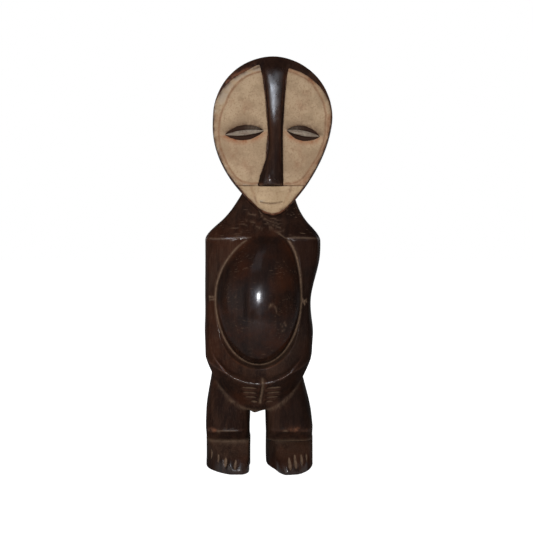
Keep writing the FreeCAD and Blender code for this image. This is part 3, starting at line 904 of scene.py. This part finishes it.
def make_clay(node, kind, side, material):
    """One piece of clay: a thin closed shell on the face, cut to the clay's ragged outline."""
    insets = {"cheek": lambda x, z: cheek_inset(side, x, z), "mouth": mouth_inset,
              "lid": lambda x, z: lid_inset(side, x, z)}
    low, high = (from_row(np.array(corner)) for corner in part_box(node))
    step = CLAY_STEP
    step *= 0.6 if kind == "lid" else 1.0
    xs = np.arange(low[0] - CLAY_MARGIN, high[0] + CLAY_MARGIN, step)
    zs = np.arange(low[2] - CLAY_MARGIN, high[2] + CLAY_MARGIN, step)
    x, z, inset, quads = cut_to_outline(xs, zs, ragged(insets[kind], kind, side))
    front = face_y(x, z) - clay_relief(kind, side, x, z, inset)
    back = face_y(x, z) + CLAY_BEHIND
    points = np.vstack([np.stack([x, front, z], 1), np.stack([x, back, z], 1)])
    count = len(x)
    faces = [tuple(q) for q in quads] + [tuple(q[::-1] + count) for q in quads]
    faces += [(b, a, a + count, b + count) for a, b in border(quads)]
    mesh = bpy.data.meshes.new(node)
    mesh.from_pydata(to_row(points).tolist(), [], faces)
    stains = clay_stains(kind, side, x, z)
    for name, values in zip(("brown", "orange", "pale"), stains):
        paint(mesh, name, np.concatenate([values, values]))
    return add_piece(node.replace("_clay", "_coat"), mesh, node, material)


# ---- materials ----

class Nodes:
    """Short calls for building one material's node tree."""

    def __init__(self, name):
        self.material = bpy.data.materials.new(name)
        self.material.use_nodes = True
        self.tree = self.material.node_tree
        self.shader = self.tree.nodes["Principled BSDF"]
        self.where = self.add("ShaderNodeTexCoord").outputs["Object"]

    def add(self, kind, **settings):
        node = self.tree.nodes.new(kind)
        for key, value in settings.items():
            setattr(node, key, value)
        return node

    def put(self, socket, value):
        if isinstance(value, bpy.types.NodeSocket):
            self.tree.links.new(value, socket)
        elif isinstance(value, tuple) and len(value) == 3 and socket.type == "RGBA":
            socket.default_value = (*value, 1.0)
        else:
            socket.default_value = value

    def stretched(self, x, y, z):
        node = self.add("ShaderNodeVectorMath", operation="MULTIPLY")
        self.put(node.inputs[0], self.where)
        node.inputs[1].default_value = (x, y, z)
        return node.outputs[0]

    def noise(self, scale, detail=3.0, rough=0.55, vector=None, warp=0.0):
        node = self.add("ShaderNodeTexNoise")
        self.put(node.inputs["Vector"], vector or self.where)
        node.inputs["Scale"].default_value = scale
        node.inputs["Detail"].default_value = detail
        node.inputs["Roughness"].default_value = rough
        node.inputs["Distortion"].default_value = warp
        return node.outputs["Fac"]

    def spread(self, value, low, high, to_low=0.0, to_high=1.0):
        node = self.add("ShaderNodeMapRange", interpolation_type="SMOOTHSTEP")
        for socket, given in zip(node.inputs, (value, low, high, to_low, to_high)):
            self.put(socket, given)
        return node.outputs[0]

    def math(self, operation, *values):
        node = self.add("ShaderNodeMath", operation=operation)
        for socket, value in zip(node.inputs, values):
            self.put(socket, value)
        return node.outputs[0]

    def times(self, a, b):
        return self.math("MULTIPLY", a, b)

    def most(self, a, b):
        return self.math("MAXIMUM", a, b)

    def mix(self, amount, a, b):
        node = self.add("ShaderNodeMix", data_type="RGBA")
        self.put(node.inputs[0], amount)
        self.put(node.inputs[6], a)
        self.put(node.inputs[7], b)
        return node.outputs[2]

    def stained(self, colour, tint, name, amount):
        """The colour, turned to tint where the paint of that name says."""
        return self.mix(self.times(self.painted(name), amount), colour, tint)

    def give(self, name, value):
        self.put(self.shader.inputs[name], value)

    def painted(self, name):
        return self.add("ShaderNodeAttribute", attribute_name=name).outputs["Fac"]

    def bump(self, height, distance, strength=1.0, under=None):
        node = self.add("ShaderNodeBump")
        node.inputs["Strength"].default_value = strength
        node.inputs["Distance"].default_value = distance
        self.put(node.inputs["Height"], height)
        if under:
            self.put(node.inputs["Normal"], under)
        return node.outputs[0]


def wood_material():
    """Dark waxed wood: reddish brown under a nearly black skin, paler where the knife cut last and along
    painted highlight lines on the shoulders' ridge and the knees' ledges, and darker with painted shade.
    """
    n = Nodes("dark_waxed_wood")
    along_grain = n.stretched(1.0, 1.0, 0.07)
    fibre = n.noise(900, 4, 0.6, along_grain, 0.4)
    bands = n.noise(110, 3, 0.5, along_grain, 0.6)
    scratches = wood_scratches(n)
    # Pale cut wood, with the painted highlight lines on the ridges.
    bare_and_highlight = n.times(n.painted("bare_and_highlight"), n.spread(n.noise(260, 3), 0.3, 0.6, 0.6, 1.0))
    bare_and_highlight = n.most(bare_and_highlight, n.times(scratches, 0.7))
    colour = skin_colour(n, fibre, bands)
    cut_wood = n.mix(n.noise(700, 2, 0.5, along_grain), CUT_WOOD, PALE_CUT_WOOD)
    colour = n.mix(bare_and_highlight, colour, cut_wood)
    colour = n.stained(colour, SOCKET_WOOD, "socket", 0.9)
    colour = n.stained(colour, CLAY_DUST, "dust", n.spread(fibre, 0.3, 0.7, 0.2, 0.8))
    n.give("Base Color", colour)
    polish_wood(n, bare_and_highlight)
    height = n.math("SUBTRACT", n.times(fibre, 0.6), n.times(scratches, 0.5))
    n.give("Normal", n.bump(height, 0.00018, 0.5, n.bump(bands, 0.0004, 0.35)))
    n.give("Coat Normal", n.bump(bands, 0.0003, 0.08))
    return n.material


def skin_colour(n, fibre, bands):
    """The stained skin: red showing through in patches, dusty, worn and earthy places, with painted
    shade in the hollows and on the shade() places.
    """
    colour = n.mix(n.spread(bands, 0.35, 0.7), BLACK_SKIN, BROWN_SKIN)
    redness = n.math("MULTIPLY_ADD", n.painted("dome"), 0.6, 0.4)
    redness = n.times(n.spread(n.noise(24, 3, 0.6), 0.42, 0.7), redness)
    colour = n.mix(redness, colour, RED_WOOD)
    colour = n.mix(n.times(n.spread(fibre, 0.45, 0.8), 0.35), colour, FIBRE)
    colour = n.stained(colour, FIBRE, "pale", n.spread(fibre, 0.35, 0.65, 0.25, 0.9))
    colour = n.stained(colour, WORN_WOOD, "worn", n.spread(n.noise(60, 3), 0.35, 0.65, 0.1, 0.7))
    colour = n.stained(colour, RUST, "earth", n.spread(n.noise(130, 3), 0.4, 0.6))
    colour = n.stained(colour, PAINTED_SHADE, "hollow_shade", 0.6)
    return n.stained(colour, PAINTED_SHADE, "shade", 0.6)


def polish_wood(n, bare_and_highlight):
    """A soft sheen on the belly, and wax, as a clear coat, where hands have rubbed the wood."""
    dome, shine = n.painted("dome"), n.painted("shine")
    gloss, glint = n.painted("gloss"), n.painted("glint")
    rough = n.spread(n.noise(70, 4, 0.6), 0.3, 0.7, 0.58, 0.74)
    n.give("Roughness", n.math("MULTIPLY_ADD", shine, -0.40, rough))
    n.give("Specular IOR Level", n.math("MULTIPLY_ADD", shine, 0.04, 0.02))
    n.give("Specular Tint", (0.72, 0.82, 1.0))
    wax = n.most(n.times(shine, 0.18), n.times(n.painted("worn"), 0.5))
    wax = n.most(wax, n.most(gloss, glint))
    dull = n.most(bare_and_highlight, n.painted("socket"))
    n.give("Coat Weight", n.times(wax, n.math("SUBTRACT", 1.0, dull)))
    coat_rough = n.spread(n.noise(85, 4, 0.6), 0.3, 0.7, 0.16, 0.28)
    smoother = n.math("MULTIPLY_ADD", dome, -0.4, n.math("MULTIPLY_ADD", gloss, 0.5, 1.0))
    n.give("Coat Roughness", n.times(coat_rough, smoother))
    raised_index = n.most(n.times(glint, 0.6), n.times(gloss, 0.55))
    n.give("Coat IOR", n.math("ADD", raised_index, 1.5))


def wood_scratches(n):
    """Short pale scratches, most of them on the neck and fewer on the belly."""
    total = None
    for angle, offset in ((12, 0.0), (-35, 0.31), (4, 0.57)):
        turned = n.add("ShaderNodeMapping")
        n.put(turned.inputs["Vector"], n.where)
        turned.inputs["Location"].default_value = (offset, 0, offset)
        turned.inputs["Rotation"].default_value = (0, math.radians(angle), 0)
        turned.inputs["Scale"].default_value = (0.10, 1.0, 1.0)
        streak = n.spread(n.noise(620, 1, 0.4, turned.outputs[0]), 0.66, 0.74)
        total = streak if total is None else n.most(total, streak)
    places = n.times(n.painted("neck"), 0.8)
    places = n.math("MULTIPLY_ADD", n.painted("dome"), 0.3, places)
    places = n.times(places, n.spread(n.noise(45, 2), 0.5, 0.62))
    return n.times(total, places)


def clay_material(name, colours):
    """Chalky clay rubbed on the wood: mottled, dirty and with painted shade, stained where the paint
    attributes say.
    """
    n = Nodes(name)
    base, light, dark = colours
    mottle = n.noise(60, 5, 0.62, warp=0.3)
    cloud = n.noise(17, 3, 0.6)
    speck = n.noise(520, 3, 0.6)
    breakup = n.spread(n.noise(240, 3), 0.3, 0.62, 0.5, 1.0)
    colour = n.mix(n.spread(mottle, 0.35, 0.68), base, light)
    colour = n.mix(n.times(n.spread(cloud, 0.5, 0.72), 0.4), colour, dark)
    colour = n.mix(n.times(n.spread(speck, 0.48, 0.7), 0.6), colour, dark)
    for name, tint in (("pale", CHALK), ("orange", RUST_ON_CLAY), ("brown", BROWN_DIRT_AND_SHADE)):
        colour = n.stained(colour, tint, name, breakup)
    n.give("Base Color", colour)
    n.give("Roughness", n.spread(speck, 0.3, 0.7, 0.74, 0.94))
    n.give("Specular IOR Level", 0.22)
    fine = n.bump(n.noise(1100, 3, 0.6), 0.0002, 0.5)
    n.give("Normal", n.bump(mottle, 0.0005, 0.5, fine))
    return n.material


# ---- stage ----

def make_floor():
    """A wide pale floor, bright enough to run into the background, with the figure's soft shadow."""
    mesh = bpy.data.meshes.new("floor")
    corners = [(x * FLOOR_HALF, y * FLOOR_HALF, 0) for x, y in ((-1, -1), (1, -1), (1, 1), (-1, 1))]
    mesh.from_pydata(corners, [], [(0, 1, 2, 3)])
    n = Nodes("pale_floor")
    n.give("Base Color", (0.8, 0.8, 0.8))
    n.give("Roughness", 0.9)
    n.give("Emission Color", WHITE)
    seen = n.add("ShaderNodeLightPath").outputs["Is Camera Ray"]
    away = n.add("ShaderNodeVectorMath", operation="LENGTH")
    n.put(away.inputs[0], n.where)
    glow = n.spread(away.outputs["Value"], 0.12, 0.8, 0.88, 1.0)
    n.give("Emission Strength", n.times(seen, glow))
    mesh.materials.append(n.material)
    floor = bpy.data.objects.new("floor", mesh)
    floor.location.z = FIGURE_LOW.z
    bpy.context.scene.collection.objects.link(floor)


def make_world():
    """White to the camera, and much dimmer as light on the figure."""
    world = bpy.data.worlds.new("studio")
    world.use_nodes = True
    tree = world.node_tree
    background = tree.nodes["Background"]
    seen = tree.nodes.new("ShaderNodeLightPath")
    strength = tree.nodes.new("ShaderNodeMapRange")
    strength.inputs["To Min"].default_value = WORLD_LIGHT
    strength.inputs["To Max"].default_value = 1.0
    tree.links.new(seen.outputs["Is Camera Ray"], strength.inputs["Value"])
    tree.links.new(strength.outputs[0], background.inputs["Strength"])
    background.inputs["Color"].default_value = (1, 1, 1, 1)
    bpy.context.scene.world = world


def make_lamp(name, place, size, power, colour, aim_z):
    """A rectangular lamp at a place in millimetres, turned to the torso's axis at a level."""
    data = bpy.data.lights.new(name, "AREA")
    data.shape = "RECTANGLE"
    data.size, data.size_y = size
    data.energy = power
    data.color = colour
    lamp = bpy.data.objects.new(name, data)
    lamp.location = to_row(np.array(place, float))
    aim = Vector(to_row(np.array([0.0, 0.0, aim_z])))
    lamp.rotation_euler = (aim - lamp.location).to_track_quat("-Z", "Y").to_euler()
    bpy.context.scene.collection.objects.link(lamp)


def make_camera():
    """The camera in front, a little above the figure's middle and tipped down slightly."""
    data = bpy.data.cameras.new("camera")
    data.sensor_width = CAMERA_SENSOR
    data.lens = CAMERA_LENS
    camera = bpy.data.objects.new("camera", data)
    camera.location = to_row(np.array(CAMERA_PLACE))
    camera.rotation_euler = (math.radians(90 - CAMERA_TIP), 0, 0)
    bpy.context.scene.collection.objects.link(camera)
    bpy.context.scene.camera = camera


def main():
    make_carving(wood_material())
    cheeks = clay_material("white_clay", CHEEK_CLAY)
    lids = clay_material("eyelid_clay", EYELID_CLAY)
    for side in ("right", "left"):
        make_clay(f"{side}_cheek_clay", "cheek", side, cheeks)
        make_clay(f"{side}_eyelid_clay", "lid", side, lids)
    make_clay("mouth_clay", "mouth", "", clay_material("mouth_clay", MOUTH_CLAY))
    make_floor()
    make_world()
    for name, settings in LAMPS.items():
        make_lamp(name, *settings)
    bpy.context.scene.view_settings.view_transform = "Standard"
    make_camera()


main()
